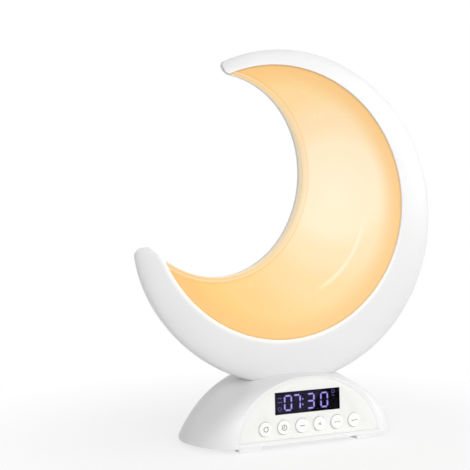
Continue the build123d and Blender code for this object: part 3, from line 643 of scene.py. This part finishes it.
def glowing_panel(settings):
    """Milky panel lit from behind: pale in the middle, deeper at the rim and the horns."""
    finish, tree, shader = new_finish("glowing_panel")
    reach, _ = distance_from(tree, GLOW_MIDDLE, FRONT_AXES)
    share = spread(tree, reach, 0.0, GLOW_REACH, 0.0, 1.0)
    ends = ((0.0, tuple(settings.glow_centre)), (HORN_SHARE, tuple(settings.glow_horn)))
    glow = colour_steps(tree, share, (ends[0], *GLOW_STEPS, ends[1]))
    # the panel deepens towards the rim; along its seam against the lip a thin darker line is painted shade
    from_rim, rim_vector = distance_from(tree, RIM_CENTRE, FRONT_AXES)
    glow = blend_colour(tree, ease(tree, from_rim, *RIM_BAND), glow, RIM_GLOW)
    glow = blend_colour(tree, ease(tree, from_rim, *SEAM_SHADE_BAND), glow, SEAM_SHADE)
    # a rounded roll follows the hollow: greyer at the very edge, then a pale line that is a painted
    # highlight, then deeper
    from_hollow, _ = distance_from(tree, HOLLOW_CENTRE, FRONT_AXES)
    glow = blend_colour(tree, ease(tree, from_hollow, *ROLL_BAND), glow, ROLL_GLOW)
    rise, fall = (ease(tree, from_hollow, *band) for band in (ROLL_HIGHLIGHT_RISE, ROLL_HIGHLIGHT_FALL))
    glow = blend_colour(tree, combined(tree, "MULTIPLY", rise, fall), glow, ROLL_HIGHLIGHT)
    glow = blend_colour(tree, ease(tree, from_hollow, *EDGE_BAND), glow, EDGE_GLOW)
    # painted highlight: a pale line along the lower right stretch of a soft crease round the dish
    rise, fall = (ease(tree, from_rim, *band) for band in (CREASE_HIGHLIGHT_RISE, CREASE_HIGHLIGHT_FALL))
    crease = combined(tree, "MULTIPLY", rise, fall)
    stretch = ease(tree, direction_share(tree, rim_vector, CREASE_HIGHLIGHT_SIDE), *CREASE_HIGHLIGHT_SIDE_BAND)
    glow = blend_colour(tree, combined(tree, "MULTIPLY", crease, stretch), glow, CREASE_HIGHLIGHT)
    milky = vector_step(tree, "SCALE", glow)
    milky.inputs["Scale"].default_value = PANEL_MILK
    tree.links.new(milky.outputs["Vector"], shader.inputs["Base Color"])
    tree.links.new(glow, shader.inputs["Emission Color"])
    shader.inputs["Emission Strength"].default_value = settings.glow_level
    tree.links.new(uneven(tree, *PANEL_SHEEN), shader.inputs["Roughness"])
    shader.inputs["Specular IOR Level"].default_value = 0.3
    add_bump(tree, shader, grain(tree, PANEL_GRAIN), *PANEL_BUMP)
    return finish


def smoked_lens():
    """Dark clear lens whose tint changes faintly across a slanting line: painted glare."""
    finish, tree, shader = new_finish("smoked_lens")
    share = slant_share(tree, *LENS_GLARE_SLANT)
    tree.links.new(blend_colour(tree, share, *LENS_GLARE_TINTS), shader.inputs["Base Color"])
    shader.inputs["Transmission Weight"].default_value = 1.0
    shader.inputs["IOR"].default_value = LENS_IOR
    tree.links.new(uneven(tree, *LENS_SHEEN), shader.inputs["Roughness"])
    return finish


def display_back():
    """Black display face with painted glare: lighter on one side of a slanting line."""
    finish, tree, shader = new_finish("display_black")
    share = slant_share(tree, *DISPLAY_GLARE_SLANT)
    tree.links.new(blend_colour(tree, share, *DISPLAY_GLARE_TONES), shader.inputs["Base Color"])
    tree.links.new(uneven(tree, *DISPLAY_SHEEN), shader.inputs["Roughness"])
    shader.inputs["Specular IOR Level"].default_value = 0.05
    return finish


def lit_segment(name, colour, level):
    """Lit bar of a figure or sign, slightly uneven in tone."""
    finish, tree, shader = new_finish(name)
    deeper = tuple(value * SEGMENT_TONE_DROP for value in colour)
    glow = blend_colour(tree, uneven(tree, *SEGMENT_NOISE, 0.0, 1.0), deeper, tuple(colour))
    tree.links.new(glow, shader.inputs["Emission Color"])
    tree.links.new(glow, shader.inputs["Base Color"])
    shader.inputs["Emission Strength"].default_value = level
    shader.inputs["Roughness"].default_value = 0.5
    return finish


def floor_finish(stage):
    """Pale floor that fades to the white of the background away from the clock."""
    finish, tree, shader = new_finish("pale_floor")
    shader.inputs["Base Color"].default_value = FLOOR_GREY
    shader.inputs["Roughness"].default_value = FLOOR_ROUGHNESS
    shader.inputs["Specular IOR Level"].default_value = 0.0
    white = tree.nodes.new("ShaderNodeEmission")
    white.inputs["Color"].default_value = FULL_WHITE
    white.inputs["Strength"].default_value = 1.0
    away, _ = distance_from(tree, (0.0, 0.0, 0.0), PLAN_AXES)
    lift = ease(tree, away, FLOOR_FADE_START, FLOOR_FADE_END, stage.floor_white, 1.0)
    path = tree.nodes.new("ShaderNodeLightPath").outputs
    seen = combined(tree, "MAXIMUM", path["Is Camera Ray"], path["Is Glossy Ray"])
    share = combined(tree, "MULTIPLY", lift, seen)
    floor = blend_shader(tree, share, shader.outputs["BSDF"], white.outputs["Emission"])
    output = next(node for node in tree.nodes if node.type == "OUTPUT_MATERIAL")
    tree.links.new(floor, output.inputs["Surface"])
    return finish


# ---------------------------------------------------------------- stage pieces
def light_world(level):
    """World that lights evenly and looks white to the camera and in reflections."""
    world = bpy.data.worlds.new("studio")
    world.use_nodes = True
    tree = world.node_tree
    tree.nodes.clear()
    whites = []
    for strength in (level, 1.0):
        white = tree.nodes.new("ShaderNodeBackground")
        white.inputs["Color"].default_value = FULL_WHITE
        white.inputs["Strength"].default_value = strength
        whites.append(white.outputs["Background"])
    path = tree.nodes.new("ShaderNodeLightPath").outputs
    first = combined(tree, "MAXIMUM", path["Is Camera Ray"], path["Is Glossy Ray"])
    seen = combined(tree, "MAXIMUM", first, path["Is Transmission Ray"])
    output = tree.nodes.new("ShaderNodeOutputWorld")
    tree.links.new(blend_shader(tree, seen, *whites), output.inputs["Surface"])
    return world


def add_lamp(name, towards, width, level):
    data = bpy.data.lights.new(name, "SUN")
    data.energy = level
    data.angle = math.radians(width)
    lamp = bpy.data.objects.new(name, data)
    bpy.context.scene.collection.objects.link(lamp)
    lamp.rotation_euler = Vector(towards).to_track_quat("Z", "Y").to_euler()


def add_camera(stage):
    lens = bpy.data.cameras.new("camera")
    lens.lens = stage.camera_lens
    lens.sensor_width = SENSOR_WIDTH
    lens.shift_x = (PICTURE_MIDDLE - AXIS_ACROSS) / PICTURE_SIZE
    lens.shift_y = (AXIS_DOWN - PICTURE_MIDDLE) / PICTURE_SIZE
    lens.clip_start = CLIP_NEAR
    lens.clip_end = CLIP_FAR
    camera = bpy.data.objects.new("camera", lens)
    bpy.context.scene.collection.objects.link(camera)
    camera.location = stage.camera_place
    camera.rotation_euler = (math.radians(90.0), 0.0, stage.camera_turn)
    bpy.context.scene.camera = camera


# ---------------------------------------------------------------- pieces
class MOONCLOCK_OT_moon_shell(bpy.types.Operator):
    """Glossy C-shaped moon shell with its rounded lip, and its back cover"""

    bl_idname = "moonclock.moon_shell"
    bl_label = "Moon shell"

    def execute(self, context):
        settings = context.scene.moon_clock_finish
        piece = dressed_copy("moon_shell", "moon_shell_skin", bevel=settings.lip_bevel)
        coat(piece, lipped_white(settings))
        cover = dressed_copy("moon_back", "moon_back_cover")
        coat(cover, gloss_white(settings))
        return {"FINISHED"}


class MOONCLOCK_OT_light_panel(bpy.types.Operator):
    """Dished light panel that glows from behind"""

    bl_idname = "moonclock.light_panel"
    bl_label = "Light panel"

    def execute(self, context):
        piece = dressed_copy("light_panel", "light_panel_glow")
        coat(piece, glowing_panel(context.scene.moon_clock_finish))
        return {"FINISHED"}


class MOONCLOCK_OT_base(bpy.types.Operator):
    """Arched base, its front plate, its underside and the pads"""

    bl_idname = "moonclock.base"
    bl_label = "Base"

    def execute(self, context):
        settings = context.scene.moon_clock_finish
        shell = dressed_copy("base_shell", "base_shell_skin")
        coat(shell, gloss_white(settings))
        plate = dressed_copy("bottom_plate", "bottom_plate_moulding")
        coat(plate, moulded("underside_white", settings.shell_white, *UNDERSIDE_SURFACE))
        front = dressed_copy("front_fascia", "front_fascia_plate", bevel=settings.edge_bevel)
        coat(front, moulded("matte_white", settings.fascia_white, *FASCIA_SURFACE))
        coat_node("foot_pads", moulded("pale_rubber", PAD_GREY, *PAD_SURFACE))
        return {"FINISHED"}


class MOONCLOCK_OT_buttons(bpy.types.Operator):
    """Six round push buttons with their marks"""

    bl_idname = "moonclock.buttons"
    bl_label = "Buttons"

    def execute(self, context):
        white = moulded("button_white", BUTTON_WHITE, *BUTTON_SURFACE)
        for node in BUTTON_NODES:
            piece = dressed_copy(node, node + "_cap")
            coat(piece, white)
        ink = moulded("grey_ink", INK_GREY, *INK_SURFACE)
        for index, (node, strokes) in enumerate(zip(BUTTON_NODES, BUTTON_MARKS)):
            piece = start_piece(node + "_mark")
            for kind, x, y, *sizes in strokes:
                if kind == "ring":
                    radius, first, last = sizes
                    add_ring((x * MM, y * MM), radius * MM, MARK_LINE, first, last)
                else:
                    turn, length = sizes
                    add_bar((x * MM, y * MM), math.radians(turn), length * MM, MARK_LINE)
            across = BUTTON_PITCH * (index - (BUTTON_COUNT - 1) / 2)
            place = Vector((across, -BUTTON_DROP, BUTTON_PROUD - MARK_SUNK))
            finish_mark(piece, place, MARK_SUNK + MARK_PROUD)
            coat(piece, ink)
            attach(piece, node)
        return {"FINISHED"}


class MOONCLOCK_OT_display(bpy.types.Operator):
    """Smoked window, dark display face, lit figures and signs"""

    bl_idname = "moonclock.display"
    bl_label = "Display"

    def execute(self, context):
        settings = context.scene.moon_clock_finish
        coat_node("display_window", smoked_lens())
        figures = dressed_copy("display_digits", "display_figures")
        activate(figures)
        bpy.ops.object.mode_set(mode="EDIT")
        bpy.ops.mesh.select_all(action="SELECT")
        bpy.ops.mesh.dissolve_limited(angle_limit=FIGURE_FLAT_ANGLE)
        bpy.ops.mesh.select_all(action="DESELECT")
        data = bmesh.from_edit_mesh(figures.data)
        for face in data.faces:
            face.select_set(face.normal.y < FRONT_FACING)
        bmesh.update_edit_mesh(figures.data)
        bpy.ops.mesh.inset(thickness=FIGURE_CORE_INSET, use_individual=True)
        coat(figures, lit_segment("lit_figures", settings.digit_colour, settings.digit_level))
        figures.data.materials.append(lit_segment("lit_cores", CORE_VIOLET, settings.digit_level))
        figures.active_material_index = 1
        bpy.ops.object.material_slot_assign()
        bpy.ops.object.mode_set(mode="OBJECT")
        coat_node("display_signs", lit_segment("dim_signs", SIGN_VIOLET, SIGN_LEVEL))
        coat_node("display_block", display_back())
        return {"FINISHED"}


class MOONCLOCK_OT_workings(bpy.types.Operator):
    """Boards, switches, screws, sockets, cell, speaker and lead inside"""

    bl_idname = "moonclock.workings"
    bl_label = "Workings"

    def execute(self, context):
        for make, table in ((moulded, MOULDED_WORKINGS), (metal, METAL_WORKINGS)):
            for name, colour, surface, nodes in table:
                finish = make(name, colour, *surface)
                for node in nodes:
                    coat_node(node, finish)
        return {"FINISHED"}


class MOONCLOCK_OT_stage(bpy.types.Operator):
    """Pale floor, soft light and the camera"""

    bl_idname = "moonclock.stage"
    bl_label = "Stage"

    def execute(self, context):
        scene = context.scene
        stage = scene.moon_clock_stage
        deselect()
        bpy.ops.mesh.primitive_plane_add(size=FLOOR_SIZE, location=(0, 0, 0))
        floor = bpy.context.active_object
        floor.name = "floor"
        coat(floor, floor_finish(stage))
        scene.world = light_world(stage.sky_level)
        for name, towards, width in LAMPS:
            add_lamp(name, towards, width, getattr(stage, name + "_level"))
        add_camera(stage)
        scene.view_settings.view_transform = "Standard"
        return {"FINISHED"}


class MOONCLOCK_PT_panel(bpy.types.Panel):
    """Moon clock"""

    bl_label = "Moon clock"
    bl_idname = "MOONCLOCK_PT_panel"
    bl_space_type = "VIEW_3D"
    bl_region_type = "UI"
    bl_category = "Moon clock"

    def draw(self, context):
        column = self.layout.column()
        for group in (context.scene.moon_clock_finish, context.scene.moon_clock_stage):
            for name in group.__annotations__:
                column.prop(group, name)
        for operator in OPERATORS:
            column.operator(operator.bl_idname)


OPERATORS = (
    MOONCLOCK_OT_moon_shell,
    MOONCLOCK_OT_light_panel,
    MOONCLOCK_OT_base,
    MOONCLOCK_OT_buttons,
    MOONCLOCK_OT_display,
    MOONCLOCK_OT_workings,
    MOONCLOCK_OT_stage,
)
CLASSES = (MoonClockFinish, MoonClockStage, *OPERATORS, MOONCLOCK_PT_panel)


def register():
    for item in CLASSES:
        bpy.utils.register_class(item)
    bpy.types.Scene.moon_clock_finish = bpy.props.PointerProperty(type=MoonClockFinish)
    bpy.types.Scene.moon_clock_stage = bpy.props.PointerProperty(type=MoonClockStage)


def unregister():
    del bpy.types.Scene.moon_clock_finish
    del bpy.types.Scene.moon_clock_stage
    for item in reversed(CLASSES):
        bpy.utils.unregister_class(item)


def main():
    register()
    bpy.ops.moonclock.moon_shell()
    bpy.ops.moonclock.light_panel()
    bpy.ops.moonclock.base()
    bpy.ops.moonclock.buttons()
    bpy.ops.moonclock.display()
    bpy.ops.moonclock.workings()
    bpy.ops.moonclock.stage()


if __name__ == "__main__":
    main()
